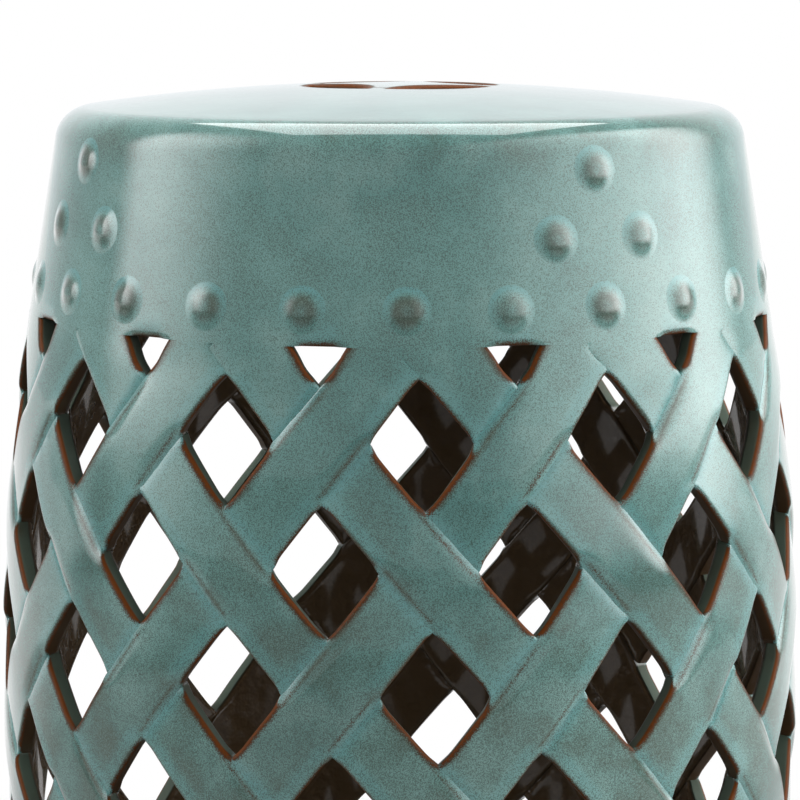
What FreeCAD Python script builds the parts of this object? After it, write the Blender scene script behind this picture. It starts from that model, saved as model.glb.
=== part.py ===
# Glazed ceramic garden stool: a barrel with a woven strap lattice between two
# bossed collars, closed by a domed and pierced seat. Millimetres, +Z up, the
# origin on the ground at the middle of the foot, and the front towards -Y.
# Angles about the axis start at the front and grow towards +X.

import FreeCAD, Part
import Sketcher
import math
import os

Vector = FreeCAD.Vector

# Driving dimensions: alias, value, meaning
SIZES = [
    ("overall_height", 462.0, "ground to the crown of the seat"),
    ("belly_radius", 159.0, "outside radius at the widest height"),
    ("upper_band", 88.0, "lattice edge of the upper collar to the crown"),
    ("lower_band", 78.0, "ground to the lattice edge of the lower collar"),
    ("wall", 7.5, "thickness of the fired wall"),
    ("belly_swell", 12.2, "belly further out than a collar's lattice edge"),
    ("shoulder_inset", 12.5, "lattice edge to the corner of wall and seat dome"),
    ("shoulder_round", 14.0, "rounding of the shoulder"),
    ("dome_radius", 901.0, "radius of the dome of the seat"),
    ("seat_inset", 14.3, "that corner to the edge of the luted seat disc"),
    ("petal_distance", 28.5, "axis to the middle of a finger hole"),
    ("petal_length", 42.0, "length of a finger hole"),
    ("petal_width", 18.0, "width of a finger hole"),
    ("petal_count", 4, "finger holes in the seat"),
    ("foot_height", 12.0, "height of the foot ring"),
    ("foot_inset", 10.6, "lattice edge to where the lower collar meets the foot"),
    ("sole_inset", 1.8, "from there in to the foot at the ground before rounding"),
    ("sole_width", 20.4, "width of the sole before rounding"),
    ("foot_round", 7.0, "rounding of the foot's outer edge"),
    ("strap_count", 13, "straps that lean each way"),
    ("strap_width", 27.1, "width of a strap square to its run"),
    ("strap_relief", 1.3, "how far a strap swells out and dips in as it weaves"),
    ("row_count", 6, "rows of crossings between the collars"),
    ("row_margin", 0.7563, "rows from the first or last crossings to a collar"),
    ("row_twist", 0.81, "degrees each row is turned from the one above"),
    ("lattice_turn", 1.77, "degrees the lattice is turned at the belly, from an opening at the front of row 1"),
    ("boss_count", 24, "bosses in the ring of each collar"),
    ("boss_radius", 8.0, "radius of a boss on the wall"),
    ("boss_rise", 2.6, "height of a boss above the wall"),
    ("boss_ring", 12.8, "lattice edge of a collar to its ring of bosses"),
    ("boss_shoulder", 16.3, "top boss of a pyramid to the corner of the shoulder"),
    ("boss_foot", 4.4, "lowest boss of a pyramid to the foot ring"),
    ("pyramid_count", 4, "boss pyramids on each collar"),
]

doc = FreeCAD.newDocument("garden_stool")
sheet = doc.addObject("Spreadsheet::Sheet", "sizes")
for row, (alias, value, meaning) in enumerate(SIZES, start=1):
    sheet.set("A%d" % row, alias)
    sheet.set("B%d" % row, str(value))
    sheet.set("C%d" % row, meaning)
    sheet.setAlias("B%d" % row, alias)

# What follows from them: alias, formula, meaning
FOLLOWING = [
    ("collar_radius", "=belly_radius - belly_swell", "outside radius at a collar's lattice edge"),
    ("shoulder_radius", "=collar_radius - shoulder_inset", "radius of the shoulder's corner"),
    ("seat_radius", "=shoulder_radius - seat_inset", "radius of the luted seat disc"),
    ("foot_radius", "=collar_radius - foot_inset", "outside radius at the top of the foot"),
    ("foot_sole", "=foot_radius - sole_inset", "outside radius of the foot at the ground"),
    ("foot_inside", "=foot_sole - sole_width", "inside radius of the sole"),
    ("lattice_half", "=(overall_height - upper_band - lower_band) / 2",
     "belly to the edge of either collar"),
    ("belly_height", "=lower_band + lattice_half", "height of the widest ring"),
    ("row_pitch", "=2 * lattice_half / (row_count - 1 + 2 * row_margin)",
     "height from one row of crossings to the next"),
]
for row, (alias, formula, meaning) in enumerate(FOLLOWING, start=len(SIZES) + 1):
    sheet.set("A%d" % row, alias)
    sheet.set("B%d" % row, formula)
    sheet.set("C%d" % row, meaning)
    sheet.setAlias("B%d" % row, alias)
    doc.recompute()


def size(alias):
    """A driving dimension, read from the sheet."""
    return float(sheet.get(alias))


def whole(alias):
    """A driving count, read from the sheet."""
    return int(round(size(alias)))


# Heights and radii that several pieces share, as expressions on the sheet
COLLAR_EDGE_HIGH = "(sizes.belly_height + sizes.lattice_half)"
COLLAR_EDGE_LOW = "(sizes.belly_height - sizes.lattice_half)"
DOME_DROP = "(sizes.dome_radius - sqrt(sizes.dome_radius ^ 2 - %s ^ 2))"
SEAT_EDGE = "(sizes.overall_height - %s)" % (DOME_DROP % "sizes.seat_radius")
SHOULDER_TOP = "(sizes.overall_height - %s)" % (DOME_DROP % "sizes.shoulder_radius")
SHOULDER_INSIDE = "(sizes.shoulder_radius - sizes.wall)"
SHOULDER_UNDER = "(sizes.overall_height - %s - sizes.wall)" % (DOME_DROP % SHOULDER_INSIDE)


def evaluate(expression):
    """The number that an expression on the sheet gives."""
    return float(sheet.evalExpression(expression))


def plane_of(body, role):
    """One of a body's own origin planes or axes."""
    return [f for f in body.Origin.OriginFeatures if f.Role == role][0]


def new_body(label, role):
    """A body with one empty sketch on an origin plane."""
    body = doc.addObject("PartDesign::Body", label)
    body.Label = label
    sketch = body.newObject("Sketcher::SketchObject", label + "_outline")
    sketch.AttachmentSupport = (plane_of(body, role), [""])
    sketch.MapMode = "FlatFace"
    return body, sketch


def pin(sketch, curve, corner, across, up):
    """Tie one end of a curve to the distances two expressions give."""
    for kind, expression in (("DistanceX", across), ("DistanceY", up)):
        value = evaluate(expression)
        if abs(value) < 1e-9:
            line = -2 if kind == "DistanceX" else -1
            sketch.addConstraint(Sketcher.Constraint("PointOnObject", curve, corner, line))
        elif value > 0:
            index = sketch.addConstraint(
                Sketcher.Constraint(kind, -1, 1, curve, corner, value))
            sketch.setExpression("Constraints[%d]" % index, expression)
        else:
            index = sketch.addConstraint(
                Sketcher.Constraint(kind, curve, corner, -1, 1, -value))
            sketch.setExpression("Constraints[%d]" % index, "-(%s)" % expression)


def draw(sketch, corners, arcs):
    """A closed outline through corners given as expressions.

    arcs maps the number of a side to (radius expression, sign): the arc bulges
    to the left of its run for sign +1 and to the right for -1.
    """
    points = [Vector(evaluate(a), evaluate(b), 0) for a, b in corners]
    ends = []
    for side, start in enumerate(points):
        stop = points[(side + 1) % len(points)]
        if side in arcs:
            radius_text, sign = arcs[side]
            radius = evaluate(radius_text)
            chord = stop - start
            left = Vector(-chord.y, chord.x, 0).normalize()
            back = math.sqrt(radius ** 2 - (chord.Length / 2) ** 2)
            centre = (start + stop) * 0.5 - left * (sign * back)
            begin, end = (stop, start) if sign > 0 else (start, stop)
            angles = [math.atan2(p.y - centre.y, p.x - centre.x) for p in (begin, end)]
            if angles[1] < angles[0]:
                angles[1] += 2 * math.pi
            circle = Part.Circle(centre, Vector(0, 0, 1), radius)
            curve = sketch.addGeometry(Part.ArcOfCircle(circle, *angles), False)
            first = 2 if sign > 0 else 1
        else:
            curve = sketch.addGeometry(Part.LineSegment(start, stop), False)
            first = 1
        ends.append((curve, first, 3 - first))
    for side, (curve, first, last) in enumerate(ends):
        following = ends[(side + 1) % len(ends)]
        sketch.addConstraint(
            Sketcher.Constraint("Coincident", curve, last, following[0], following[1]))
        pin(sketch, curve, first, *corners[side])
    for side, (radius_text, _) in arcs.items():
        index = sketch.addConstraint(
            Sketcher.Constraint("Radius", ends[side][0], evaluate(radius_text)))
        sketch.setExpression("Constraints[%d]" % index, radius_text)


def turned_body(label, corners, arcs):
    """A ring or disc turned about the axis from its outline."""
    body, sketch = new_body(label, "XZ_Plane")
    draw(sketch, corners, arcs)
    turning = body.newObject("PartDesign::Revolution", label + "_turning")
    turning.Profile = sketch
    turning.ReferenceAxis = (sketch, ["V_Axis"])
    turning.Angle = 360.0
    doc.recompute()
    return body, turning


def round_edge(body, feature, radius_name, across, height):
    """Round the circular edge that lies at a radius and height."""
    names = []
    for number, edge in enumerate(feature.Shape.Edges, start=1):
        point = edge.Vertexes[0].Point
        if abs(math.hypot(point.x, point.y) - across) < 1e-4 and abs(point.z - height) < 1e-4:
            if hasattr(edge.Curve, "Radius") and edge.Length > across:
                names.append("Edge%d" % number)
    fillet = body.newObject("PartDesign::Fillet", feature.Name + "_rounding")
    fillet.Base = (feature, names)
    fillet.setExpression("Radius", "sizes." + radius_name)
    body.Tip = fillet
    doc.recompute()


# Seat: a shallow domed disc with finger holes laid out like the petals of an
# old pierced coin
seat, seat_turning = turned_body(
    "seat_top",
    [("0", "sizes.overall_height"),
     ("0", "sizes.overall_height - sizes.wall"),
     ("sizes.seat_radius", SEAT_EDGE + " - sizes.wall"),
     ("sizes.seat_radius", SEAT_EDGE)],
    {1: ("sizes.dome_radius", 1), 3: ("sizes.dome_radius", -1)})
petal_sketch = seat.newObject("Sketcher::SketchObject", "petal_outline")
petal_sketch.AttachmentSupport = (plane_of(seat, "XY_Plane"), [""])
petal_sketch.MapMode = "FlatFace"
PETAL_ARC = "((sizes.petal_length ^ 2 / 4 + sizes.petal_width ^ 2 / 4) / sizes.petal_width)"
draw(petal_sketch,
     [("-sizes.petal_length / 2", "sizes.petal_distance"),
      ("sizes.petal_length / 2", "sizes.petal_distance")],
     {0: (PETAL_ARC, -1), 1: (PETAL_ARC, -1)})
petal = seat.newObject("PartDesign::Pocket", "petal_hole")
petal.Profile = petal_sketch
petal.Type = "ThroughAll"
petal.Reversed = True
doc.recompute()
petals = seat.newObject("PartDesign::PolarPattern", "petal_holes")
petals.Originals = [petal]
petals.Axis = (petal_sketch, ["N_Axis"])
petals.Angle = 360.0
petals.setExpression("Occurrences", "sizes.petal_count")
seat.Tip = petals
doc.recompute()

# Upper collar: the plain cone above the lattice, turned in at the shoulder to
# carry the seat disc
upper, upper_turning = turned_body(
    "upper_collar",
    [("sizes.collar_radius", COLLAR_EDGE_HIGH),
     ("sizes.shoulder_radius", SHOULDER_TOP),
     ("sizes.seat_radius", SEAT_EDGE),
     ("sizes.seat_radius", SEAT_EDGE + " - sizes.wall"),
     (SHOULDER_INSIDE, SHOULDER_UNDER),
     ("sizes.collar_radius - sizes.wall", COLLAR_EDGE_HIGH)],
    {1: ("sizes.dome_radius", -1), 3: ("sizes.dome_radius", 1)})
round_edge(upper, upper_turning, "shoulder_round",
           size("shoulder_radius"), evaluate(SHOULDER_TOP))

# Lower collar: the same cone the other way up
lower, lower_turning = turned_body(
    "lower_collar",
    [("sizes.foot_radius", "sizes.foot_height"),
     ("sizes.collar_radius", COLLAR_EDGE_LOW),
     ("sizes.collar_radius - sizes.wall", COLLAR_EDGE_LOW),
     ("sizes.foot_radius - sizes.wall", "sizes.foot_height")],
    {})

# Foot ring: the thicker rim that the stool stands on
foot, foot_turning = turned_body(
    "foot_ring",
    [("sizes.foot_sole", "0"),
     ("sizes.foot_radius", "sizes.foot_height"),
     ("sizes.foot_radius - sizes.wall", "sizes.foot_height"),
     ("sizes.foot_inside", "0")],
    {})
round_edge(foot, foot_turning, "foot_round", size("foot_sole"), 0.0)


# Lattice: flat straps of clay that run from collar to collar and pass over and
# under each other, lapped half and half at every crossing

belly_radius = size("belly_radius")
belly_height = size("belly_height")
wall = size("wall")
lattice_half = size("lattice_half")
row_pitch = size("row_pitch")
row_count = whole("row_count")
relief = size("strap_relief")
half_column = math.pi / whole("strap_count")
row_twist = math.radians(size("row_twist"))
lattice_turn = math.radians(size("lattice_turn"))

barrel_inset = belly_radius - size("collar_radius")
barrel_arc = (lattice_half ** 2 + barrel_inset ** 2) / (2 * barrel_inset)
top_row = row_pitch * (row_count - 1) / 2
SECTIONS_PER_ROW = 4
CUT_MARGIN = 3.0


def barrel(level):
    """Outside radius of the barrel at a level above or below the belly."""
    return belly_radius - barrel_arc + math.sqrt(barrel_arc ** 2 - level ** 2)


def row_level(row):
    """Level of a row of crossings: row 0 lies inside the upper collar."""
    return top_row - (row - 1) * row_pitch


def strap_turn(lean, level):
    """Angle moved by a strap's middle line from the belly to a level.

    lean is +1 for the straps that rise to the right and -1 for the others.
    """
    return (lean * half_column - row_twist) * level / row_pitch


def strap_half_angle(level):
    """Half the angle that a strap takes up on a level circle."""
    across = half_column * barrel(level)
    slope = math.atan2(row_pitch, across)
    return size("strap_width") / 2 / math.sin(slope) / barrel(level)


def sector(level, middle, half, inner, outer):
    """A level slice of a strap: two arcs joined by two radial sides."""
    height = belly_height + level

    def at(radius, angle):
        return Vector(radius * math.sin(angle), -radius * math.cos(angle), height)

    first, last = middle - half, middle + half
    return Part.Wire([
        Part.Arc(at(outer, first), at(outer, middle), at(outer, last)).toShape(),
        Part.LineSegment(at(outer, last), at(inner, last)).toShape(),
        Part.Arc(at(inner, last), at(inner, middle), at(inner, first)).toShape(),
        Part.LineSegment(at(inner, first), at(outer, first)).toShape()])


def swell(lean, level):
    """Outward sway of a strap: out where it lies on top, in where it dips."""
    rows_down = (top_row - level) / row_pitch
    return lean * relief * math.cos(math.pi * rows_down)


def band(lean, middle, low, high, inner_of, outer_of):
    """A length of strap between two levels, through slices of its width."""
    count = max(4, int(math.ceil((high - low) / row_pitch * SECTIONS_PER_ROW)))
    slices = []
    for step in range(count + 1):
        level = low + (high - low) * step / count
        slices.append(sector(level, middle + strap_turn(lean, level),
                             strap_half_angle(level), inner_of(level), outer_of(level)))
    return Part.makeLoft(slices, True, False)


def strap(lean):
    """One strap with the laps for every strap that it crosses.

    Straps that rise to the right lie on top in the odd rows, counted from the
    upper collar, and the others in the even rows.
    """
    middle = lattice_turn + half_column * (1 - lean * (row_count - 1) / 2)
    body = band(lean, middle, -lattice_half, lattice_half,
                lambda level: barrel(level) - wall + swell(lean, level),
                lambda level: barrel(level) + swell(lean, level))
    reach = row_pitch / 2
    laps = []
    for row in range(row_count + 2):
        level = row_level(row)
        crossing = middle + strap_turn(lean, level) - strap_turn(-lean, level)
        on_top = (row % 2 == 1) == (lean > 0)
        outer = (lambda z: barrel(z) - wall / 2) if on_top else (lambda z: barrel(z) + CUT_MARGIN)
        inner = (lambda z: barrel(z) - wall - CUT_MARGIN) if on_top else (lambda z: barrel(z) - wall / 2)
        laps.append(band(-lean, crossing, level - reach, level + reach, inner, outer))
    lapped = body.cut(laps)
    return lapped.Solids[0] if len(lapped.Solids) == 1 else lapped


def add_piece(label, shape):
    """A piece whose shape is computed here from the sheet's sizes."""
    piece = doc.addObject("Part::Feature", label)
    piece.Label = label
    piece.Shape = shape
    return piece


pieces = [seat, upper, lower, foot]
for lean, name in ((1, "rising_strap"), (-1, "falling_strap")):
    pattern = strap(lean)
    for number in range(whole("strap_count")):
        copy = pattern.copy()
        copy.rotate(Vector(0, 0, 0), Vector(0, 0, 1), math.degrees(2 * half_column) * number)
        pieces.append(add_piece("%s_%02d" % (name, number + 1), copy))


# Bosses: pressed clay studs luted onto the collars, a full ring next to the
# lattice and a pyramid of two and one above it on each of four sides


def boss(cone, radius, height, angle, tilt):
    """A low domed stud seated on a collar's cone, where the wall leans by tilt."""
    base, rise = size("boss_radius"), size("boss_rise")
    ball = (base ** 2 + rise ** 2) / (2 * rise)
    sunk = ball - rise
    outward = Vector(math.sin(angle) * math.cos(tilt), -math.cos(angle) * math.cos(tilt),
                     math.sin(tilt))
    seat_point = Vector(radius * math.sin(angle), -radius * math.cos(angle), height)
    ball_cap = Part.makeSphere(ball, seat_point - outward * sunk, outward, 0, 90, 360)
    return ball_cap.cut(cone).Solids[0]


def boss_pieces(name, direction, end_radius, end_height, end_margin):
    """The ring and the pyramids of one collar, whose cone ends at end_radius.

    end_margin is left between the last boss of a pyramid and that end.
    """
    edge = belly_height + direction * lattice_half
    start_radius = size("collar_radius")
    length = abs(end_height - edge)
    lean_in = (start_radius - end_radius) / length
    tilt = direction * math.atan(lean_in)
    spacing = 2 * math.pi / whole("boss_count")
    step = (length - size("boss_ring") - end_margin) / 2

    # The cone of the wall, longer at both ends, its seam clear of every boss
    spare = 2 * size("boss_radius")
    cone = Part.makeCone(start_radius + spare * lean_in, end_radius - spare * lean_in,
                         length + 2 * spare, Vector(0, 0, edge - direction * spare),
                         Vector(0, 0, direction), 360)
    cone.rotate(Vector(0, 0, 0), Vector(0, 0, 1), math.degrees(spacing / 4))

    def place(course, angle):
        away = size("boss_ring") + course * step
        return boss(cone, start_radius - away * lean_in, edge + direction * away, angle, tilt)

    ring = [place(0, spacing * number) for number in range(whole("boss_count"))]
    studs = []
    for side in range(whole("pyramid_count")):
        front = 2 * math.pi * side / whole("pyramid_count")
        studs += [place(1, front - spacing / 2), place(1, front + spacing / 2), place(2, front)]
    return [add_piece(name + "_ring_bosses", Part.makeCompound(ring)),
            add_piece(name + "_pyramid_bosses", Part.makeCompound(studs))]


pieces += boss_pieces("upper", 1, size("shoulder_radius"), evaluate(SHOULDER_TOP),
                      size("boss_shoulder"))
pieces += boss_pieces("lower", -1, size("foot_radius"), size("foot_height"),
                      size("boss_foot"))

# Every object has to be sound before anything is written
doc.recompute()
for item in doc.Objects:
    if "Invalid" in item.State or "Error" in item.State:
        raise RuntimeError("%s did not build: %s" % (item.Label, item.State))
os.makedirs("parts", exist_ok=True)
for piece in pieces:
    if piece.Shape.isNull() or not piece.Shape.isValid():
        raise RuntimeError("%s has no sound shape" % piece.Label)
for piece in pieces:
    piece.Shape.exportStep(os.path.join("parts", piece.Label + ".step"))
    print("%-24s %8.1f cm3 %d solids" % (
        piece.Label, piece.Shape.Volume / 1000, len(piece.Shape.Solids)))
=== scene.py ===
import math
import bpy
from mathutils import Matrix, Vector


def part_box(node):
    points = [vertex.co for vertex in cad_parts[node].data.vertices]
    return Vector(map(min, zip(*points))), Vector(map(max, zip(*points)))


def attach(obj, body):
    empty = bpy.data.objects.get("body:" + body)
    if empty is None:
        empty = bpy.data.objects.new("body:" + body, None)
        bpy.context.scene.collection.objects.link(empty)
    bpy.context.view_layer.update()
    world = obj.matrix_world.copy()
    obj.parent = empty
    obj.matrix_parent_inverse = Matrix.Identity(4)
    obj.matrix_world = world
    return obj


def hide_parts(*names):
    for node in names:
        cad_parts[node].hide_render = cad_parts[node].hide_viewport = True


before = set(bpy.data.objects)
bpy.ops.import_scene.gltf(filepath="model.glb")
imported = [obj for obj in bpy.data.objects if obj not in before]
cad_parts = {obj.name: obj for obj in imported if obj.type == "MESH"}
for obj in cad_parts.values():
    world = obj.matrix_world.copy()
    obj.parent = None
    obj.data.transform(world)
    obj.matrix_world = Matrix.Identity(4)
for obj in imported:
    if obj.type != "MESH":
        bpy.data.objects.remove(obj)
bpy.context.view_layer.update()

# Seat disc
# A shallow dome of clay, cut through with four finger holes like the petals of
# an old pierced coin. It is luted inside the shoulder and glazed over with it.

seat_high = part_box("seat_top")[1]
crown_height = seat_high.z
seat_radius = seat_high.x
wall = 0.0075
dome_radius = 0.901
petal_distance = 0.0285
petal_length = 0.042
petal_width = 0.018
petal_arc = (petal_length ** 2 + petal_width ** 2) / 4 / petal_width
petal_inset = petal_arc - petal_width / 2
petal_lip = 0.0022
petal_under_lip = 0.0012
petal_rust_fade = 0.006
bar_length = 0.06
bar_sides = 192
seat_grid = 0.005
seat_lines = 24
ring_steps = 312
near_enough = 1e-5


def deselect():
    bpy.ops.object.select_all(action="DESELECT")


def pick(piece, test, mode="VERT"):
    """Enter edit mode with only what passes the test selected."""
    bpy.context.view_layer.objects.active = piece
    bpy.ops.object.mode_set(mode="EDIT")
    bpy.ops.mesh.select_mode(type=mode)
    bpy.ops.mesh.select_all(action="DESELECT")
    bpy.ops.object.mode_set(mode="OBJECT")
    mesh = piece.data
    if mode == "VERT":
        for corner in mesh.vertices:
            corner.select = test(corner.co)
    else:
        for edge in mesh.edges:
            a, b = (mesh.vertices[i].co for i in edge.vertices)
            edge.select = test(a, b)
    bpy.ops.object.mode_set(mode="EDIT")


def apply_modifier(piece, kind, **values):
    """Add a modifier, set it and make it part of the mesh."""
    bpy.context.view_layer.objects.active = piece
    modifier = piece.modifiers.new(kind.lower(), kind)
    for name, value in values.items():
        setattr(modifier, name, value)
    bpy.ops.object.modifier_apply(modifier=modifier.name)


def cut_with(piece, cutter, operation="DIFFERENCE"):
    """Cut a piece with another one, which is then thrown away."""
    apply_modifier(piece, "BOOLEAN", object=cutter, operation=operation, solver="EXACT")
    bpy.data.objects.remove(cutter, do_unlink=True)


def smooth(piece, angle):
    """Shade a piece smooth, with an edge where it turns by more than an angle."""
    deselect()
    piece.select_set(True)
    bpy.context.view_layer.objects.active = piece
    bpy.ops.object.shade_smooth_by_angle(angle=math.radians(angle))
    piece.select_set(False)


def paint(piece, name, value_of):
    """Write one number per vertex for the glaze to read."""
    layer = piece.data.attributes.new(name, "FLOAT", "POINT")
    layer.data.foreach_set("value", [value_of(v.co) for v in piece.data.vertices])


def ramp(value, low, high):
    """A soft step from 0 at low to 1 at high."""
    t = min(1.0, max(0.0, (value - low) / (high - low)))
    return t * t * (3 - 2 * t)


def bump(value, middle, reach):
    """A soft hump, 1 at the middle and nearly gone a reach away."""
    return math.exp(-((value - middle) / reach) ** 2 * 2)


def dome_drop(across):
    """How far the dome has fallen at a distance from its middle."""
    return dome_radius - math.sqrt(dome_radius ** 2 - across ** 2)


def petal_prism(turn):
    """A lens-shaped prism, left where two round bars overlap."""
    bars = []
    for side in (-1, 1):
        out = petal_distance + side * petal_inset
        bpy.ops.mesh.primitive_cylinder_add(
            vertices=bar_sides, radius=petal_arc, depth=bar_length,
            location=(math.sin(turn) * out, -math.cos(turn) * out, crown_height))
        bars.append(bpy.context.object)
    bpy.ops.object.transform_apply(location=True)
    deselect()
    cut_with(bars[0], bars[1], "INTERSECT")
    return bars[0]


deselect()
bpy.ops.mesh.primitive_cylinder_add(
    vertices=ring_steps, radius=seat_radius, depth=wall,
    location=(0, 0, crown_height - wall / 2))
seat = bpy.context.object
seat.name = "seat_disc"
bpy.ops.object.transform_apply(location=True)
for quarter in range(4):
    cut_with(seat, petal_prism(quarter * math.pi / 2))


def hole_edge(height, a, b):
    """Whether an edge runs round a finger hole at a height."""
    near = max(Vector(a[:2]).length, Vector(b[:2]).length) < petal_distance + petal_length
    return near and abs(a.z - height) < near_enough and abs(b.z - height) < near_enough


for height, lip in ((crown_height, petal_lip), (crown_height - wall, petal_under_lip)):
    pick(seat, lambda a, b: hole_edge(height, a, b), "EDGE")
    bpy.ops.mesh.bevel(offset=lip, segments=4, affect="EDGES")
    bpy.ops.object.mode_set(mode="OBJECT")
for axis in ((1, 0, 0), (0, 1, 0)):
    for line in range(-seat_lines, seat_lines + 1):
        pick(seat, lambda co: True)
        bpy.ops.mesh.bisect(plane_co=Vector(axis) * (line * seat_grid), plane_no=axis)
        bpy.ops.object.mode_set(mode="OBJECT")
for corner in seat.data.vertices:
    corner.co.z -= dome_drop(min(seat_radius, Vector(corner.co[:2]).length))


def depth_in_seat(co):
    """Distance down from the dome, in metres."""
    return crown_height - dome_drop(min(seat_radius, Vector(co[:2]).length)) - co.z


def petal_reach(co):
    """Distance outside the nearest finger hole, in metres."""
    x, y = abs(co.x), abs(co.y)
    if x > y:
        x, y = y, x
    near = Vector((x, y - petal_distance + petal_inset)).length - petal_arc
    far = Vector((x, y - petal_distance - petal_inset)).length - petal_arc
    return max(near, far)


paint(seat, "depth", lambda co: depth_in_seat(co) * 1000)
paint(seat, "rim", lambda co: 1 - max(0.0, petal_reach(co)) / petal_rust_fade)
smooth(seat, 40)
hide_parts("seat_top")
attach(seat, "root")


# Glaze
# One glassy blue-green glaze covers the clay. It is thick and blue in the
# creases, breaks to rust brown where it runs thin over an edge, is full of fine
# iron specks, and turns almost black on the inside.

glaze_deep = (0.100, 0.232, 0.215, 1)
glaze_mid = (0.165, 0.325, 0.298, 1)
glaze_pale = (0.225, 0.360, 0.328, 1)
# The pool colour below also paints the highlight above each boss, and the brown one the shade
# round the belly of the straps
glaze_pool_and_highlight = (0.125, 0.320, 0.320, 1)
glaze_brown_and_shade = (0.105, 0.102, 0.066, 1)
speck_colour = (0.035, 0.040, 0.028, 1)
rust_brown = (0.054, 0.017, 0.004, 1)
rust_orange = (0.138, 0.034, 0.002, 1)
cut_green = (0.080, 0.108, 0.082, 1)
cut_brown = (0.058, 0.031, 0.013, 1)
inner_dark = (0.085, 0.052, 0.025, 1)
cloud_scale = 9.0
patch_scale = 38.0
ragged_scale = 420.0
grain_scale = 1300.0
fine_grain_scale = 2500.0
ripple_scale = 150.0
wave_scale = 22.0
run_scale = 90.0
speck_crowding = 0.110
cut_from, cut_full = 0.9, 1.8
inside_from, inside_full = 5.6, 6.6
dull_from, dull_full = 0.35, 0.70
glaze_ior = 1.20
coat_ior = 1.55
coat_roughness = 0.05


def node(tree, kind, place, **values):
    """Add a node and set its sockets, or else its own settings, by name."""
    made = tree.nodes.new(kind)
    made.location = place
    for name, value in values.items():
        if name in made.inputs:
            made.inputs[name].default_value = value
        else:
            setattr(made, name, value)
    return made


def noise_at(tree, coords, place, scale, detail=3.0, roughness=0.55):
    made = node(tree, "ShaderNodeTexNoise", place,
                Scale=scale, Detail=detail, Roughness=roughness)
    tree.links.new(coords, made.inputs["Vector"])
    return made.outputs["Fac"]


def fade(tree, value, place, low, high, start=0.0, end=1.0):
    """A soft step on a value."""
    made = node(tree, "ShaderNodeMapRange", place, interpolation_type="SMOOTHSTEP")
    for index, number in ((1, low), (2, high), (3, start), (4, end)):
        made.inputs[index].default_value = number
    tree.links.new(value, made.inputs[0])
    return made.outputs[0]


def sum_up(tree, operation, place, first, second):
    """Work out two values, each a number or what comes out of a node."""
    made = node(tree, "ShaderNodeMath", place, operation=operation)
    for socket, value in zip(made.inputs, (first, second)):
        if isinstance(value, (int, float)):
            socket.default_value = value
        else:
            tree.links.new(value, socket)
    return made.outputs[0]


def blend_colours(tree, place, factor, first, second):
    """Blend from the first colour to the second as the factor rises."""
    made = node(tree, "ShaderNodeMix", place, data_type="RGBA")
    tree.links.new(factor, made.inputs[0])
    for socket, value in ((made.inputs[6], first), (made.inputs[7], second)):
        if isinstance(value, tuple):
            socket.default_value = value
        else:
            tree.links.new(value, socket)
    return made.outputs[2]


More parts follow.
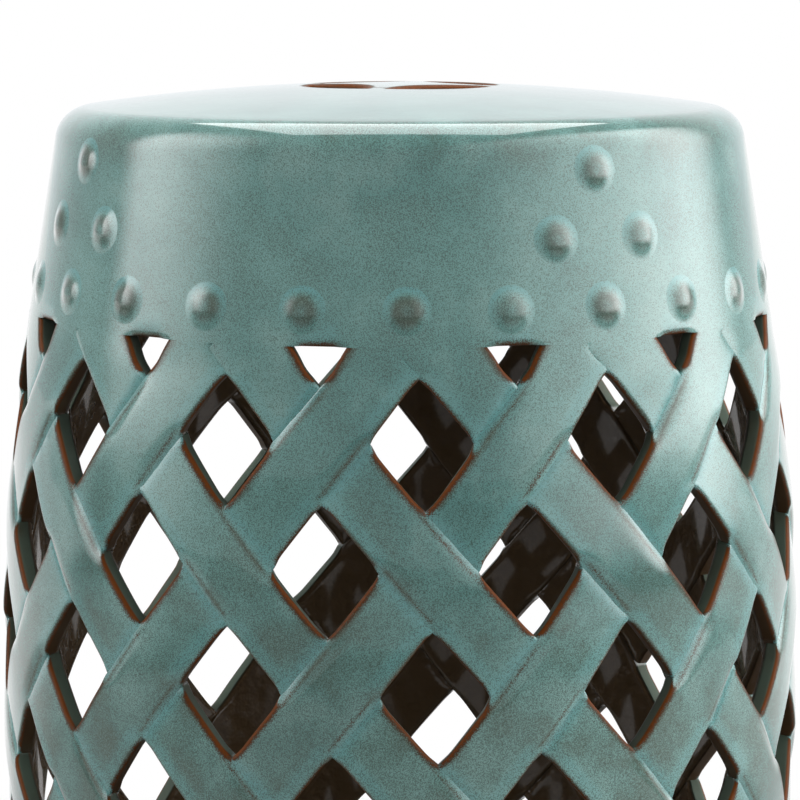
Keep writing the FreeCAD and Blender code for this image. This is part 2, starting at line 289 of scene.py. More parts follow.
def glaze(name):
    """The glaze, whose look follows what is painted on each piece.

    rim is 1 on a sharp edge. thin is where the glaze has run off a rounding, and on the
    straps also a band of painted shade round the belly. pool is where it has gathered,
    and round each boss also a painted highlight on its upper side. run is where it
    has crept onto a cut face. depth is the distance in from the outside in mm.
    """
    material = bpy.data.materials.new(name)
    material.use_nodes = True
    tree = material.node_tree
    tree.nodes.clear()
    output = node(tree, "ShaderNodeOutputMaterial", (1400, 0))
    shader = node(tree, "ShaderNodeBsdfPrincipled", (1100, 0))
    tree.links.new(shader.outputs[0], output.inputs[0])
    coords = node(tree, "ShaderNodeTexCoord", (-1600, 0)).outputs["Object"]

    def attribute(label, place):
        return node(tree, "ShaderNodeAttribute", place, attribute_name=label).outputs["Fac"]

    depth = attribute("depth", (-1600, -300))
    rim = attribute("rim", (-1600, -500))
    pool_and_highlight = attribute("pool_and_highlight", (-1600, -700))
    thin_and_shade = attribute("thin_and_shade", (-1600, -900))

    clouds = noise_at(tree, coords, (-1300, 300), cloud_scale)
    patches = noise_at(tree, coords, (-1300, 100), patch_scale, 4.0)
    ragged = noise_at(tree, coords, (-1300, -400), ragged_scale, 3.0)
    grains = noise_at(tree, coords, (-1300, -100), grain_scale, 2.0, 0.6)
    fine_grains = noise_at(tree, coords, (-1300, -250), fine_grain_scale, 1.0)

    # Drifting tones of blue-green, bluest where the glaze has pooled; above each boss
    # the pool also carries a painted highlight
    cloudy = fade(tree, clouds, (-1100, 300), 0.35, 0.65)
    colour = blend_colours(tree, (-900, 300), cloudy, glaze_deep, glaze_mid)
    milky = fade(tree, patches, (-1100, 100), 0.48, 0.75, 0.0, 0.55)
    colour = blend_colours(tree, (-700, 300), milky, colour, glaze_pale)
    pooled_and_highlit = fade(tree, pool_and_highlight, (-900, -700), 0.05, 1.0, 0.0, 0.65)
    colour = blend_colours(tree, (-500, 300), pooled_and_highlit, colour, glaze_pool_and_highlight)

    # Where the glaze is thin it browns, and its iron specks crowd together. Round the belly
    # of the straps this browning is painted shade, and above each boss it gives way to a
    # painted highlight
    near_edge = fade(tree, rim, (-1100, -500), 0.0, 0.75)
    bare_and_shade = sum_up(tree, "MAXIMUM", (-900, -500), near_edge, thin_and_shade)
    low_patch = fade(tree, patches, (-1100, -250), 0.62, 0.38, 0.05, 0.42)
    crowding_and_painted_light = sum_up(tree, "ADD", (-700, -500), bare_and_shade, low_patch)
    crowding_and_painted_light = sum_up(tree, "SUBTRACT", (-600, -500), crowding_and_painted_light,
                   sum_up(tree, "MULTIPLY", (-700, -700), pool_and_highlight, 0.6))
    browned_and_shaded = fade(tree, crowding_and_painted_light, (-500, -100), 0.25, 1.3, 0.0, 0.75)
    colour = blend_colours(tree, (-400, 300), browned_and_shaded, colour, glaze_brown_and_shade)
    lift = sum_up(tree, "MULTIPLY", (-500, -500), crowding_and_painted_light, speck_crowding)
    speck = fade(tree, sum_up(tree, "ADD", (-300, -300), grains, lift),
                 (-100, -300), 0.58, 0.72, 0.0, 0.32)
    tiny = fade(tree, sum_up(tree, "ADD", (-300, -150), fine_grains, lift),
                (-100, -150), 0.48, 0.66, 0.0, 0.62)
    colour = blend_colours(tree, (-200, 300), speck, colour, speck_colour)
    colour = blend_colours(tree, (0, 300), tiny, colour, speck_colour)

    # Rust where the glaze breaks over an edge
    uneven = sum_up(tree, "MULTIPLY", (-1100, -1000),
                    sum_up(tree, "SUBTRACT", (-1250, -1000), ragged, 0.5), 0.30)
    patchy = sum_up(tree, "MULTIPLY", (-1100, -1150),
                    sum_up(tree, "SUBTRACT", (-1250, -1150), patches, 0.5), 0.55)
    dusty = sum_up(tree, "MULTIPLY", (-1100, -1300),
                   sum_up(tree, "SUBTRACT", (-1250, -1300), fine_grains, 0.5), 0.8)
    wavy = sum_up(tree, "ADD", (-900, -1000),
                  sum_up(tree, "ADD", (-1000, -1000), rim, uneven),
                  sum_up(tree, "ADD", (-1000, -1150), patchy, dusty))
    rusted = fade(tree, wavy, (-700, -1000), 0.38, 0.74, 0.0, 0.95)
    colour = blend_colours(tree, (200, 300), rusted, colour, rust_brown)
    bright = fade(tree, wavy, (-700, -1200), 0.60, 0.95, 0.0, 0.92)
    colour = blend_colours(tree, (400, 300), bright, colour, rust_orange)

    # The cut faces of the openings hold a thin dark glaze, the inside almost none
    run = sum_up(tree, "ADD", (300, 600), attribute("run", (100, 600)),
                 sum_up(tree, "SUBTRACT", (100, 750), patches, 0.5))
    cut_face = blend_colours(tree, (500, 600), fade(tree, run, (400, 600), 0.15, 0.85),
                             cut_brown, cut_green)
    colour = blend_colours(tree, (600, 300), fade(tree, depth, (-500, -700), cut_from, cut_full),
                           colour, cut_face)
    inside = fade(tree, depth, (-500, -900), inside_from, inside_full)
    colour = blend_colours(tree, (800, 300), inside, colour, inner_dark)
    tree.links.new(colour, shader.inputs["Base Color"])

    # Glossy all over, dull only where the rust is
    rough = sum_up(tree, "ADD", (600, -250),
                   fade(tree, patches, (300, -200), 0.3, 0.7, 0.11, 0.17),
                   fade(tree, rim, (300, -350), dull_from, dull_full, 0.0, 0.30))
    tree.links.new(rough, shader.inputs["Roughness"])
    coat = sum_up(tree, "MULTIPLY", (600, -100),
                  fade(tree, rim, (400, -100), dull_from, dull_full, 1.00, 0.02),
                  fade(tree, depth, (400, -250), inside_from, inside_full, 1.0, 0.80))
    tree.links.new(coat, shader.inputs["Coat Weight"])
    shader.inputs["IOR"].default_value = glaze_ior
    shader.inputs["Coat Roughness"].default_value = coat_roughness
    shader.inputs["Coat IOR"].default_value = coat_ior

    # A skin that waves and ripples a little, and is uneven on the inside
    ripples = sum_up(tree, "MULTIPLY", (500, -500),
                     noise_at(tree, coords, (300, -500), ripple_scale, 2.0), 0.10)
    waves = sum_up(tree, "MULTIPLY", (500, -600),
                   noise_at(tree, coords, (300, -600), wave_scale, 1.0), 0.9)
    runs = sum_up(tree, "MULTIPLY", (500, -750),
                  noise_at(tree, coords, (300, -750), run_scale, 3.0),
                  fade(tree, depth, (300, -900), inside_from, 7.0, 0.0, 4.0))
    outside_relief = sum_up(tree, "ADD", (550, -550), ripples, waves)
    height = sum_up(tree, "ADD", (600, -550), outside_relief, runs)
    relief = node(tree, "ShaderNodeBump", (900, -400), Strength=0.8, Distance=0.001)
    tree.links.new(height, relief.inputs["Height"])
    tree.links.new(relief.outputs[0], shader.inputs["Normal"])
    return material


seat.data.materials.append(glaze("seat_glaze"))


# Upper collar
# The plain wall above the lattice, thrown as a ring that leans in a little and
# turns over at the shoulder. Its lower edge shows only over the triangular
# openings; elsewhere the straps run into it.

collar_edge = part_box("upper_collar")[0].z
collar_radius = 0.1468
shoulder_radius = 0.1343
shoulder_round = 0.014
edge_round = 0.0024
edge_turns = (90, 67.5, 45, 22.5, 0)
shoulder_steps = 14
collar_steps = 14
inner_steps = 8
merge_gap = 1e-6
belly_height = 0.226
belly_radius = 0.159
lattice_half = collar_edge - belly_height
barrel_inset = belly_radius - collar_radius
barrel_arc = (lattice_half ** 2 + barrel_inset ** 2) / (2 * barrel_inset)
strap_count = 13
strap_width = 0.0271
strap_relief = 0.0008
row_pitch = 0.04545
row_count = 6
row_twist = math.radians(0.81)
lattice_turn = math.radians(1.77)
half_column = math.pi / strap_count
top_row = row_pitch * (row_count - 1) / 2
back_drift = math.radians(1.1)
front_turn = -0.5406
opening_from, opening_full = -0.0005, 0.0035
depth_slack = 0.6
collar_rust = 0.78
collar_rust_fade = 0.006
collar_pool_height = 0.0045
collar_pool_reach = 0.004
shoulder_thin = 0.25
shoulder_thin_below = 0.004
shoulder_thin_from, shoulder_thin_to = 0.003, 0.016


def barrel(level):
    """Outside radius of the barrel at a level above or below the belly."""
    level = max(-lattice_half, min(lattice_half, level))
    return belly_radius - barrel_arc + math.sqrt(barrel_arc ** 2 - level ** 2)


def strap_slope(level):
    return math.atan2(row_pitch, half_column * barrel(level))


def strap_half_angle(level):
    return strap_width / 2 / math.sin(strap_slope(level)) / barrel(level)


def strap_angle(lean, level):
    """Middle line of the first strap of a family: lean +1 rises to the right."""
    start = lattice_turn + half_column * (1 - lean * (row_count - 1) / 2)
    return start + (lean * half_column - row_twist) * level / row_pitch


def outside_strap(lean, angle, level):
    """Distance square to the nearest strap of a family, negative on it."""
    pitch = 2 * half_column
    away = (angle - strap_angle(lean, level) + pitch / 2) % pitch - pitch / 2
    return (abs(away) - strap_half_angle(level)) * barrel(level) * math.sin(strap_slope(level))


def angle_of(co):
    """Angle about the axis, from the front towards the right."""
    return math.atan2(co.x, -co.y)


def drift(angle):
    """How far the hand-laid lattice has crept round at an angle, most at the back."""
    return back_drift * ((1 - math.cos(angle - front_turn)) / 2) ** 2


def turned_ring(name, outline, steps):
    """A ring turned on the wheel: a closed loop of points spun round the axis."""
    deselect()
    bpy.ops.mesh.primitive_circle_add(vertices=len(outline), radius=0.1)
    ring = bpy.context.object
    ring.name = name
    for corner, (across, height) in zip(ring.data.vertices, outline):
        corner.co = (0, -across, height)
    pick(ring, lambda co: True)
    bpy.ops.mesh.spin(steps=steps, angle=2 * math.pi, center=(0, 0, 0), axis=(0, 0, 1))
    bpy.ops.mesh.select_all(action="SELECT")
    bpy.ops.mesh.remove_doubles(threshold=merge_gap)
    bpy.ops.mesh.normals_make_consistent(inside=False)
    bpy.ops.object.mode_set(mode="OBJECT")
    return ring


def arc_points(centre, radius, start, stop, count):
    """Points on an arc, in (across, height), angles in degrees."""
    points = []
    for step in range(count + 1):
        turn = math.radians(start + (stop - start) * step / count)
        points.append((centre[0] + radius * math.cos(turn),
                       centre[1] + radius * math.sin(turn)))
    return points


shoulder_top = crown_height - dome_drop(shoulder_radius)
wall_lean = math.atan2(collar_radius - shoulder_radius, shoulder_top - collar_edge)


def collar_out(height):
    """Outside radius of the straight part of the upper collar."""
    return collar_radius - math.tan(wall_lean) * (height - collar_edge)


# The shoulder's rounding touches the wall and the dome: its centre lies on the
# line a rounding in from the wall and on the circle a rounding under the dome
inside_dome = dome_radius - shoulder_round
height_guess = shoulder_top - shoulder_round
for _ in range(12):
    across_guess = collar_out(height_guess) - shoulder_round / math.cos(wall_lean)
    height_guess = crown_height - dome_radius + math.sqrt(inside_dome ** 2 - across_guess ** 2)
round_centre = (across_guess, height_guess)
round_start = math.degrees(wall_lean)
round_stop = 90 - math.degrees(math.asin(across_guess / inside_dome))
shoulder_arc = arc_points(round_centre, shoulder_round, round_start, round_stop, shoulder_steps)


def shoulder_out(height):
    """Outside radius of the upper collar, with the shoulder's rounding."""
    if height < shoulder_arc[0][1]:
        return collar_out(height)
    above = height - round_centre[1]
    return round_centre[0] + math.sqrt(max(0.0, shoulder_round ** 2 - above ** 2))


def rounded_edge(out_at, edge, direction):
    """The rounded outer corner of a collar, ending on its leaning wall."""
    points = []
    for turn in edge_turns:
        height = edge + direction * edge_round * (1 - math.sin(math.radians(turn)))
        inset = edge_round * (1 - math.cos(math.radians(turn)))
        points.append((out_at(height) - inset, height))
    return points


low_corner = rounded_edge(collar_out, collar_edge, 1)
outline = list(low_corner)
wall_start, wall_end = low_corner[-1][1], shoulder_arc[0][1]
for step in range(1, collar_steps):
    height = wall_start + (wall_end - wall_start) * step / collar_steps
    outline.append((collar_out(height), height))
outline += shoulder_arc
outline.append((seat_radius, crown_height - dome_drop(seat_radius)))
outline.append((seat_radius, crown_height - dome_drop(seat_radius) - wall))
inner_corner = (shoulder_radius - wall,
                crown_height - dome_drop(shoulder_radius - wall) - wall)
inner_foot = (collar_radius - wall, collar_edge + edge_round)
for step in range(inner_steps + 1):
    share = step / inner_steps
    outline.append((inner_corner[0] + (inner_foot[0] - inner_corner[0]) * share,
                    inner_corner[1] + (inner_foot[1] - inner_corner[1]) * share))
outline += arc_points((collar_radius - wall + edge_round, collar_edge + edge_round),
                      edge_round, 180, 270, 4)[1:]
upper_collar = turned_ring("upper_collar_wall", outline, ring_steps)


def over_opening(angle, level):
    """1 where an edge at a level borders an opening, 0 where straps join it."""
    angle += drift(angle)
    nearest = min(outside_strap(1, angle, level), outside_strap(-1, angle, level))
    return ramp(nearest, opening_from, opening_full)


def square_off(co, out_at, edge, direction):
    """Take the rounding off a collar's edge where straps join it."""
    along = (co.z - edge) * direction
    across = Vector(co[:2]).length
    share = 1 - over_opening(angle_of(co), direction * lattice_half)
    first = edge_round * (1 - math.sin(math.radians(edge_turns[1])))
    if not first - merge_gap < along < edge_round - merge_gap or share == 0:
        return co
    square_along = (along - first) * edge_round / (edge_round - first)
    new_height = co.z + direction * share * (square_along - along)
    outside = across > out_at(co.z) - wall / 2
    line = out_at(new_height) if outside else out_at(new_height) - wall
    new_across = across + (line - across) * share
    return Vector((co.x * new_across / across, co.y * new_across / across, new_height))


def collar_depth(co):
    """Depth in mm on the straight wall, and all of the wall on the rest of the inside."""
    across = Vector(co[:2]).length
    if co.z < collar_edge + 0.06:
        return max(0.0, (collar_out(co.z) - across) * 1000 - depth_slack)
    under_seat = co.z < crown_height - dome_drop(seat_radius) - 0.002
    return wall * 1000 if across < seat_radius + 0.001 and under_seat else 0.0


def collar_lip(co):
    """Rust on the edge over the openings."""
    above = co.z - collar_edge
    return over_opening(angle_of(co), lattice_half) * (collar_rust - above / collar_rust_fade)


def collar_pool(co):
    """The roll of glaze that hangs just above the edge over the openings."""
    hanging = bump(co.z - collar_edge, collar_pool_height, collar_pool_reach)
    return over_opening(angle_of(co), lattice_half) * hanging


def shoulder_bare(co):
    """Thin glaze over the turn of the shoulder."""
    if Vector(co[:2]).length <= shoulder_radius - shoulder_round:
        return 0.0
    away = abs(co.z - shoulder_top + shoulder_thin_below)
    return shoulder_thin * (1 - ramp(away, shoulder_thin_from, shoulder_thin_to))


for corner in upper_collar.data.vertices:
    corner.co = square_off(corner.co.copy(), collar_out, collar_edge, 1)
paint(upper_collar, "depth", collar_depth)
paint(upper_collar, "rim", collar_lip)
paint(upper_collar, "pool_and_highlight", collar_pool)
paint(upper_collar, "thin_and_shade", shoulder_bare)
smooth(upper_collar, 50)
upper_collar.data.materials.append(glaze("collar_glaze"))
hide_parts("upper_collar")
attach(upper_collar, "root")


# Lattice straps
# Flat straps of clay, thirteen leaning each way, that pass over and under each
# other from collar to collar. Their edges are rounded with a wet sponge, and
# where one goes under another both are thinned to half the wall.

strap_length = 0.39
strap_rings = 150
strap_cuts_across = 9
strap_cuts_through = 2
free_round = 0.0019
tight_least, tight_gain = 0.55, 0.45
corner_round = 0.0026
corner_tangent = 1.235
corner_depth = 0.777
crest_step = -0.0003
crest_width = 0.0048
crest_rust = 0.50
crest_middle = 0.0028
crest_fade = 0.006
lap_start = 0.0025
lap_end = 0.0065
lap_gap = 0.0003
inner_draw = 0.0014
end_trim = 0.0017
lip_rust_up, lip_rust_down = 1.05, 0.80
lip_rust_fade = 0.0040
lip_pool_middle, lip_pool_reach = 0.0040, 0.0035
crease_pool_reach = 0.0030
side_pool_reach = 0.0045
run_up, run_down = 0.75, 0.2
# Painted shade: the straps are browned and darkened in a band round the belly
belly_painted_shade = 0.42
belly_painted_shade_reach = 0.10


def flat_strap():
    """A straight strap with rounded long edges, cut into short lengths."""
    deselect()
    bpy.ops.mesh.primitive_cube_add(size=1, location=(0, 0, 0))
    strap = bpy.context.object
    pick(strap, lambda co: True)
    bpy.ops.transform.resize(value=(strap_length, strap_width, wall))
    bpy.ops.transform.translate(value=(0, 0, -wall / 2))
    bpy.ops.object.mode_set(mode="OBJECT")
    pick(strap, lambda a, b: abs(a.y - b.y) > strap_width / 2, "EDGE")
    bpy.ops.mesh.subdivide(number_cuts=strap_cuts_across)
    bpy.ops.object.mode_set(mode="OBJECT")
    pick(strap, lambda a, b: abs(a.z - b.z) > wall / 2, "EDGE")
    bpy.ops.mesh.subdivide(number_cuts=strap_cuts_through)
    bpy.ops.object.mode_set(mode="OBJECT")
    pick(strap, lambda a, b: abs(a.x - b.x) > strap_length / 2
         and abs(abs(a.y) - strap_width / 2) < merge_gap
         and (abs(a.z) < merge_gap or abs(a.z + wall) < merge_gap), "EDGE")
    bpy.ops.mesh.bevel(offset=free_round, segments=4, affect="EDGES")
    bpy.ops.object.mode_set(mode="OBJECT")
    pick(strap, lambda a, b: abs(a.x - b.x) > strap_length / 2, "EDGE")
    bpy.ops.mesh.subdivide(number_cuts=strap_rings - 1)
    bpy.ops.object.mode_set(mode="OBJECT")
    pick(strap, lambda a, b: min(abs(a.x), abs(b.x)) > strap_length / 2 - near_enough, "EDGE")
    bpy.ops.transform.edge_crease(value=1)
    bpy.ops.object.mode_set(mode="OBJECT")
    return strap


def on_top(lean, level):
    """Whether a family lies on top at the row of crossings nearest a level."""
    row = round((top_row - level) / row_pitch) + 1
    return (row % 2 == 1) == (lean > 0)


def swell(lean, level):
    """Outward sway of a strap as it goes over and under, dying out at its ends."""
    rows_down = (top_row - level) / row_pitch
    hold = 1 - ramp(abs(level), lattice_half - 0.016, lattice_half)
    return lean * strap_relief * math.cos(math.pi * rows_down) * hold


def near_end(level):
    """1 at the points of the triangles beside a collar, 0 at the collar and a crossing on."""
    height = abs(level)
    past_row = ramp(height, top_row + 0.003, top_row + 0.019)
    return past_row * (1 - ramp(height, lattice_half - 0.013, lattice_half))


def drape(strap, lean):
    """Lay a flat strap on the barrel and note what the glaze will do on it."""
    depths, rims, pools, runs, belly_shades = [], [], [], [], []
    for corner in strap.data.vertices:
        level = corner.co.x / strap_length * 2 * lattice_half
        across, sunk = corner.co.y, corner.co.z
        middle = strap_angle(lean, level)
        share = across / (strap_width / 2)
        angle = middle + share * strap_half_angle(level)
        clear = outside_strap(-lean, angle, level)
        free = ramp(clear, -0.001, 0.002)
        ends = ramp(lattice_half - abs(level), 0.0, 0.014)

        # A smaller rounding where the edge lies on another strap
        tight = tight_least + tight_gain * free
        edge_gap = strap_width / 2 - abs(across)
        if edge_gap < free_round:
            edge_gap *= tight
        if sunk > -free_round:
            new_sunk = sunk * tight
        elif sunk < -wall + free_round:
            new_sunk = -wall + (sunk + wall) * tight
        else:
            new_sunk = sunk
        # The corners of the openings are rounded out
        inside_corner = min(max(0.0, corner_tangent * corner_round - clear),
                            corner_depth * corner_round)
        fill = corner_round - math.sqrt(corner_round ** 2 - inside_corner ** 2)
        fill *= ramp(abs(share), 0.3, 1.0)
        # Narrower on the inside, and beside the triangles under the collar
        inward = min(1.0, max(0.0, -new_sunk / wall))
        draw = inner_draw * inward
        if across * lean * level < 0:
            draw += end_trim * near_end(level)
        reach = strap_width / 2 - edge_gap + fill - draw * ramp(abs(share), 0.3, 1.0)
        angle = middle + math.copysign(reach, across) / (strap_width / 2) * strap_half_angle(level)
        radius = barrel(level) + swell(lean, level) + new_sunk

        # Over another strap the edges are smoothed down to just above it
        if sunk > -wall / 2 and swell(lean, level) > 0:
            down = max(0.0, 2 * swell(lean, level) - crest_step)
            radius -= down * (1 - free) * (1 - ramp(edge_gap, 0.0, crest_width))

        # Half laps under and over the other family
        lap = ramp(-clear, lap_start, lap_end)
        half_wall = barrel(level) - wall / 2
        if on_top(lean, level):
            if sunk < -wall / 2:
                radius += (max(radius, half_wall + lap_gap) - radius) * lap
        elif sunk > -wall / 2:
            radius += (min(radius, half_wall - lap_gap) - radius) * lap
        corner.co = (radius * math.sin(angle), -radius * math.cos(angle), belly_height + level)

        # The lip that faces up holds less glaze than the one that faces down
        faces_up = across * lean < 0
        lip = lip_rust_up if faces_up else lip_rust_down
        crest = 0.0
        if on_top(lean, level):
            crest = crest_rust - abs(edge_gap - crest_middle) / crest_fade
        rims.append(max(free * (lip - edge_gap / lip_rust_fade), (1 - free) * crest * ends))
        # Painted shade: a band round the belly where the straps are browned and darker
        belly_shades.append(belly_painted_shade * bump(level, 0.0, belly_painted_shade_reach))
        runs.append(run_up if faces_up else run_down)
        depths.append(-new_sunk * 1000)
        # Glaze pools in the creases, and hangs above the lips that face down
        hanging = bump(edge_gap, lip_pool_middle, lip_pool_reach)
        if sunk < -wall / 2:
            pools.append(0.0)
        elif on_top(lean, level):
            crease = (1 - free) * ends * 0.8 * bump(edge_gap, 0.0, crease_pool_reach)
            pools.append(max(crease, 0.0 if faces_up else free * ends * 0.7 * hanging))
        else:
            gathered = bump(clear, 0.0, side_pool_reach) * ends
            pools.append(max(gathered, 0.0 if faces_up else free * 0.6 * hanging))
    for name, values in (("depth", depths), ("rim", rims), ("pool_and_highlight", pools),
                         ("run", runs), ("thin_and_shade", belly_shades)):
        layer = strap.data.attributes.new(name, "FLOAT", "POINT")
        layer.data.foreach_set("value", values)


def copied(piece):
    """A copy of a piece, with its own mesh."""
    copy = piece.copy()
    copy.data = piece.data.copy()
    bpy.context.collection.objects.link(copy)
    return copy


strap_glaze = glaze("strap_glaze")
for lean, family in ((1, "rising_strap"), (-1, "falling_strap")):
    first = flat_strap()
    drape(first, lean)
    apply_modifier(first, "SUBSURF", levels=1, render_levels=1)
    first.data.materials.append(strap_glaze)
    smooth(first, 60)
    bands = [first] + [copied(first) for _ in range(strap_count - 1)]
    for number, strap in enumerate(bands):
        strap.name = "%s_%02d_band" % (family, number + 1)
        strap.data.transform(Matrix.Rotation(2 * half_column * number, 4, "Z"))
        for corner in strap.data.vertices:
            corner.co.rotate(Matrix.Rotation(-drift(angle_of(corner.co)), 3, "Z"))
        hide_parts("%s_%02d" % (family, number + 1))
        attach(strap, "root")


# Lower collar and foot ring
# The same wall the other way up, and the thicker rim under it that stands on
# the ground. The sole is wiped, so it is rusty where the glaze is gone.

foot_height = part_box("foot_ring")[1].z
foot_radius = 0.1362
foot_sole = 0.1344
foot_inside = 0.114
foot_round = 0.007
sole_bevel = (0.001, 0.002)
foot_tuck = (0.0004, 0.0015)
foot_rust = 0.8
foot_rust_fade = 0.008
low_collar_steps = 12
low_edge = belly_height - lattice_half
low_lean = (collar_radius - foot_radius) / (low_edge - foot_height)


def low_collar_out(height):
    """Outside radius of the lower collar."""
    return foot_radius + low_lean * (height - foot_height)


outline = [(foot_radius, foot_height)]
for step in range(1, low_collar_steps):
    height = foot_height + (low_edge - edge_round - foot_height) * step / low_collar_steps
    outline.append((low_collar_out(height), height))
outline += reversed(rounded_edge(low_collar_out, low_edge, -1))
outline += arc_points((collar_radius - wall + edge_round, low_edge - edge_round),
                      edge_round, 90, 180, 4)
for step in range(1, inner_steps + 1):
    height = low_edge - edge_round - (low_edge - edge_round - foot_height) * step / inner_steps
    outline.append((low_collar_out(height) - wall, height))
lower_collar = turned_ring("lower_collar_wall", outline, ring_steps)
for corner in lower_collar.data.vertices:
    corner.co = square_off(corner.co.copy(), low_collar_out, low_edge, -1)
paint(lower_collar, "depth",
      lambda co: max(0.0, (low_collar_out(co.z) - Vector(co[:2]).length) * 1000 - depth_slack))
paint(lower_collar, "rim",
      lambda co: over_opening(angle_of(co), -lattice_half)
      * (1 - (low_edge - co.z) / collar_rust_fade))
smooth(lower_collar, 50)
lower_collar.data.materials.append(bpy.data.materials["collar_glaze"])
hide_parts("lower_collar")
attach(lower_collar, "root")

outline = [(foot_inside + sole_bevel[0], 0.0), (foot_sole - foot_round, 0.0)]
outline += arc_points((foot_sole - foot_round, foot_round), foot_round, -90, 5, 8)[1:]
outline += [(foot_radius - foot_tuck[0], foot_height - foot_tuck[1]), (foot_radius, foot_height)]
outline += [(foot_radius - wall, foot_height), (foot_inside, sole_bevel[1])]
foot = turned_ring("foot_rim", outline, ring_steps)
paint(foot, "depth",
      lambda co: wall * 1000 if Vector(co[:2]).length < foot_radius - wall + 0.0005 else 0.0)
paint(foot, "rim", lambda co: foot_rust - co.z / foot_rust_fade)
smooth(foot, 50)
foot.data.materials.append(glaze("foot_glaze"))
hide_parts("foot_ring")
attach(foot, "root")


# Bosses
# Small studs of clay pressed into a hollow mould and luted to the collars, one
# ring beside the lattice and a pyramid on each side. Slip is smoothed round the
# foot of each, so they grow out of the wall.

boss_radius = 0.0064
boss_rise = 0.0015
boss_reach = 0.0108
boss_softness = 4.0
boss_ring = 0.0128
boss_step = 0.0244
boss_count = 24
boss_rings = 13
boss_sides = 32
boss_middle = 0.0006
boss_crown = 0.0036
boss_foot = 0.0080
boss_foot_sunk = 0.0001
boss_sunk = 0.0015


def boss_height(out):
    """Height of a boss above the wall at a distance from its middle."""
    bell = 1 / (1 + (out / boss_radius) ** boss_softness)
    sunk = boss_foot_sunk * ramp(out, boss_radius, boss_reach)
    return boss_rise * bell * boss_edge(out) - sunk


def boss_edge(out):
    """1 in the middle of a boss, dying out softly at its edge."""
    return max(0.0, 1 - (out / boss_reach) ** 2) ** 1.5


def boss_bare(co):
    """Thin glaze on the side of a boss, a little thicker again on its crown."""
    out = co.to_2d().length
    return (0.62 * (1 - ramp(out, boss_crown, boss_foot))
            - 0.30 * (1 - ramp(out, 0.0, boss_crown)))


def boss_pool_and_highlight(co):
    """A ring of thick glaze round the foot of a boss, with a painted highlight that makes it
    stronger above.
    """
    out = co.to_2d().length
    above = co.y / max(merge_gap, out)
    return 0.9 * bump(out, boss_foot, 0.0024) * (0.55 + 0.45 * above)


def boss_cap():
    """One boss on a flat wall: a button with a spread foot and a sunk base."""
    deselect()
    bpy.ops.mesh.primitive_circle_add(vertices=boss_sides, radius=boss_middle, fill_type="NGON")
    cap = bpy.context.object
    pick(cap, lambda co: True)
    bpy.ops.mesh.select_mode(type="EDGE")
    radius = boss_middle
    for step in range(1, boss_rings + 1):
        wanted = boss_reach * step / boss_rings
        growth = wanted / radius
        bpy.ops.mesh.extrude_edges_move()
        bpy.ops.transform.resize(value=(growth, growth, 1), center_override=(0, 0, 0))
        radius = wanted
    bpy.ops.mesh.extrude_edges_move()
    bpy.ops.transform.translate(value=(0, 0, -boss_sunk))
    bpy.ops.mesh.edge_face_add()
    bpy.ops.object.mode_set(mode="OBJECT")
    paint(cap, "thin_and_shade", boss_bare)
    # The pool ring carries a painted highlight on the upper side of the boss
    paint(cap, "pool_and_highlight", boss_pool_and_highlight)
    return cap


def seat_boss(cap, angle, away, direction):
    """Copy the boss onto a collar, bent to the wall."""
    stud = copied(cap)
    edge = collar_edge if direction > 0 else low_edge
    lean = math.tan(wall_lean) if direction > 0 else low_lean
    outward = Vector((math.cos(math.atan(lean)), math.sin(math.atan(lean)) * direction))
    for corner in stud.data.vertices:
        x, y = corner.co.x, corner.co.y
        up = boss_height(math.hypot(x, y)) if corner.co.z > -merge_gap else -boss_sunk
        along = away + y * direction
        across = collar_radius - lean * along
        if direction > 0:
            across = min(across, shoulder_out(edge + along))
        turn = angle + x / across
        radius = across + up * outward.x
        height = edge + direction * along + up * outward.y
        corner.co = (radius * math.sin(turn), -radius * math.cos(turn), height)
    return stud


def join(copies, name):
    """Make one piece of many."""
    deselect()
    for copy in copies:
        copy.select_set(True)
    bpy.context.view_layer.objects.active = copies[0]
    bpy.ops.object.join()
    joined = copies[0]
    joined.name = name
    deselect()
    return joined


cap = boss_cap()
boss_glaze = glaze("boss_glaze")
spacing = 2 * math.pi / boss_count
for direction, place in ((1, "upper"), (-1, "lower")):
    ring = [seat_boss(cap, spacing * n, boss_ring, direction) for n in range(boss_count)]
    pyramids = []
    for side in range(4):
        front = math.pi / 2 * side
        for angle, course in ((front - spacing / 2, 1), (front + spacing / 2, 1), (front, 2)):
            pyramids.append(seat_boss(cap, angle, boss_ring + course * boss_step, direction))
    for copies, kind in ((ring, "ring"), (pyramids, "pyramid")):
        studs = join(copies, "%s_%s_studs" % (place, kind))
        pick(studs, lambda co: True)
        bpy.ops.mesh.normals_make_consistent(inside=False)
        bpy.ops.object.mode_set(mode="OBJECT")
        apply_modifier(studs, "SUBSURF", levels=1, render_levels=1)
        smooth(studs, 60)
        studs.data.materials.append(boss_glaze)
        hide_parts("%s_%s_bosses" % (place, kind))
        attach(studs, "root")
bpy.data.objects.remove(cap, do_unlink=True)


# Studio
# A pale floor and a bright white surround, with two tall soft lamps whose
# reflections stand left and right of the middle, and a third above. The camera
# stands a little above the seat, a twelfth of a turn to the left of the front.

focal_pixels = 3324.25
picture_width = 800
camera_away = 8.2992 * belly_radius
camera_up = belly_height + 1.8206 * belly_radius
camera_turn = front_turn
camera_tilt = 0.1356
backward = (-math.sin(camera_turn), math.cos(camera_turn), 0)
floor_size = 30
floor_grey = (0.34, 0.34, 0.34, 1)
floor_white = (0.86, 0.86, 0.86, 1)
room_white = (0.95, 0.98, 1.0, 1)
side_falloff = 1.45

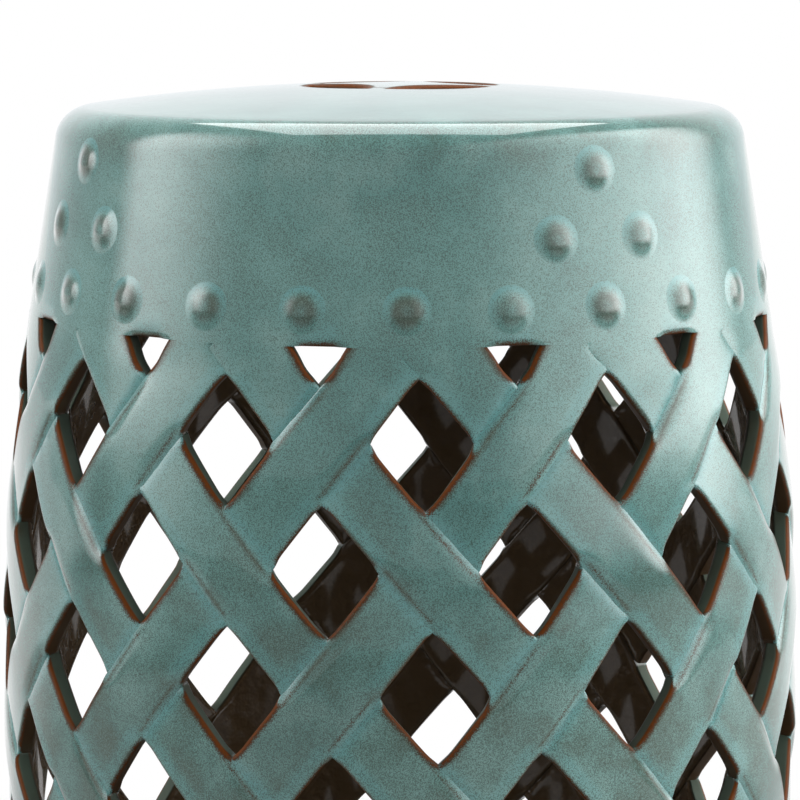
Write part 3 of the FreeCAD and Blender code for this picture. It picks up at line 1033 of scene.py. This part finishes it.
camera_data = bpy.data.cameras.new("camera")
camera = bpy.data.objects.new("camera", camera_data)
bpy.context.scene.collection.objects.link(camera)
camera_data.sensor_width = 36
camera_data.lens = focal_pixels / picture_width * camera_data.sensor_width
camera_data.clip_end = 60
camera.location = (camera_away * math.sin(camera_turn),
                   -camera_away * math.cos(camera_turn), camera_up)
camera.rotation_euler = (math.pi / 2 - camera_tilt, 0, camera_turn)
bpy.context.scene.camera = camera

deselect()
bpy.ops.mesh.primitive_plane_add(size=floor_size, location=(0, 0, 0))
floor = bpy.context.object
floor.name = "floor"
floor_paint = bpy.data.materials.new("pale_floor")
floor_paint.use_nodes = True
tree = floor_paint.node_tree
floor_shader = tree.nodes["Principled BSDF"]
floor_shader.inputs["Roughness"].default_value = 0.7
glow = node(tree, "ShaderNodeEmission", (0, -300), Strength=1.0)
mix = node(tree, "ShaderNodeMixShader", (400, 0))
path = node(tree, "ShaderNodeLightPath", (-600, 300))
away = node(tree, "ShaderNodeVectorMath", (-600, -100), operation="LENGTH")
tree.links.new(node(tree, "ShaderNodeTexCoord", (-800, -100)).outputs["Object"], away.inputs[0])
far = fade(tree, away.outputs["Value"], (-400, -100), 0.20, 0.55)
behind = node(tree, "ShaderNodeVectorMath", (-600, -300), operation="DOT_PRODUCT")
behind.inputs[1].default_value = backward
tree.links.new(node(tree, "ShaderNodeTexCoord", (-800, -300)).outputs["Object"],
               behind.inputs[0])
seen = sum_up(tree, "MULTIPLY", (-200, 100), path.outputs["Is Camera Ray"], far)
mirrored = sum_up(tree, "MULTIPLY", (-200, -100), path.outputs["Is Glossy Ray"],
                  fade(tree, behind.outputs["Value"], (-400, -300), 0.25, 0.90))
tree.links.new(sum_up(tree, "MAXIMUM", (0, 100), seen, mirrored), mix.inputs[0])
tree.links.new(blend_colours(tree, (-200, 500), path.outputs["Is Camera Ray"],
                             floor_grey, floor_white),
               floor_shader.inputs["Base Color"])
tree.links.new(floor_shader.outputs[0], mix.inputs[1])
tree.links.new(glow.outputs[0], mix.inputs[2])
tree.links.new(mix.outputs[0], tree.nodes["Material Output"].inputs[0])
floor.data.materials.append(floor_paint)

# The room is white behind the stool and dim behind the camera
world = bpy.data.worlds.new("surround")
bpy.context.scene.world = world
world.use_nodes = True
tree = world.node_tree
tree.nodes.clear()
out = node(tree, "ShaderNodeOutputWorld", (800, 0))
mix = node(tree, "ShaderNodeMixShader", (600, 0))
room = node(tree, "ShaderNodeBackground", (350, 100))
room.inputs["Color"].default_value = room_white
white = node(tree, "ShaderNodeBackground", (350, -100), Strength=1.0)
white.inputs["Color"].default_value = (1, 1, 1, 1)
path = node(tree, "ShaderNodeLightPath", (350, 400))
facing = node(tree, "ShaderNodeVectorMath", (-100, 0), operation="DOT_PRODUCT")
facing.inputs[1].default_value = backward
tree.links.new(node(tree, "ShaderNodeTexCoord", (-300, 0)).outputs["Generated"],
               facing.inputs[0])
split = node(tree, "ShaderNodeSeparateXYZ", (-100, -200))
tree.links.new(node(tree, "ShaderNodeTexCoord", (-300, -200)).outputs["Generated"],
               split.inputs[0])
front_level = fade(tree, split.outputs["Z"], (100, -200), 0.25, 0.85, 0.52, 0.22)
back_share = fade(tree, facing.outputs["Value"], (100, 0), 0.45, 0.95)
level = node(tree, "ShaderNodeMix", (250, 0), data_type="FLOAT")
tree.links.new(back_share, level.inputs[0])
tree.links.new(front_level, level.inputs[2])
level.inputs[3].default_value = 0.95
tree.links.new(level.outputs[0], room.inputs["Strength"])
tree.links.new(path.outputs["Is Camera Ray"], mix.inputs[0])
tree.links.new(room.outputs[0], mix.inputs[1])
tree.links.new(white.outputs[0], mix.inputs[2])
tree.links.new(mix.outputs[0], out.inputs[0])


def lamp(name, turn, away, height, size, brightness, aim_height,
         soft_left, soft_right, soft_ends):
    """A rectangular lamp at an angle from the camera's side, with faded edges.

    soft_left, soft_right and soft_ends are the shares of its size that fade.
    """
    data = bpy.data.lights.new(name, "AREA")
    data.shape = "RECTANGLE"
    data.size, data.size_y = size
    data.energy = brightness * math.pi * size[0] * size[1]
    data.use_nodes = True
    tree = data.node_tree
    glow = tree.nodes["Emission"]
    place = node(tree, "ShaderNodeNewGeometry", (-800, 0)).outputs["Parametric"]
    across = node(tree, "ShaderNodeSeparateXYZ", (-600, 0))
    tree.links.new(place, across.inputs[0])
    from_left = across.outputs["X"]
    from_right = sum_up(tree, "SUBTRACT", (-450, 0), 1.0, across.outputs["X"])
    from_end = sum_up(tree, "MINIMUM", (-300, -400), across.outputs["Y"],
                      sum_up(tree, "SUBTRACT", (-450, -400), 1.0, across.outputs["Y"]))
    sides = sum_up(tree, "MULTIPLY", (0, 0),
                   fade(tree, from_left, (-150, 200), 0.0, soft_left),
                   fade(tree, from_right, (-150, 0), 0.0, soft_right))
    sides = sum_up(tree, "POWER", (0, 150), sides, side_falloff)
    ends = fade(tree, from_end, (-150, -400), 0.0, soft_ends)
    tree.links.new(sum_up(tree, "MULTIPLY", (150, 0), sides, ends), glow.inputs["Strength"])
    made = bpy.data.objects.new(name, data)
    bpy.context.scene.collection.objects.link(made)
    around = camera_turn + math.radians(turn)
    made.location = (away * math.sin(around), -away * math.cos(around), height)
    look = Vector((0, 0, aim_height)) - made.location
    made.rotation_euler = look.to_track_quat("-Z", "Y").to_euler()


lamp("right_lamp", 71, 1.5, 1.15, (5.2, 2.4), 7.2, 0.5, 0.92, 0.40, 0.20)
lamp("left_lamp", -73, 1.5, 1.15, (1.84, 2.4), 4.7, 0.5, 0.24, 0.66, 0.42)
lamp("top_lamp", 180, 0.30, 1.70, (1.20, 1.25), 4.5, 0.46, 0.01, 0.01, 0.01)

scene = bpy.context.scene
scene.view_settings.view_transform = "Standard"
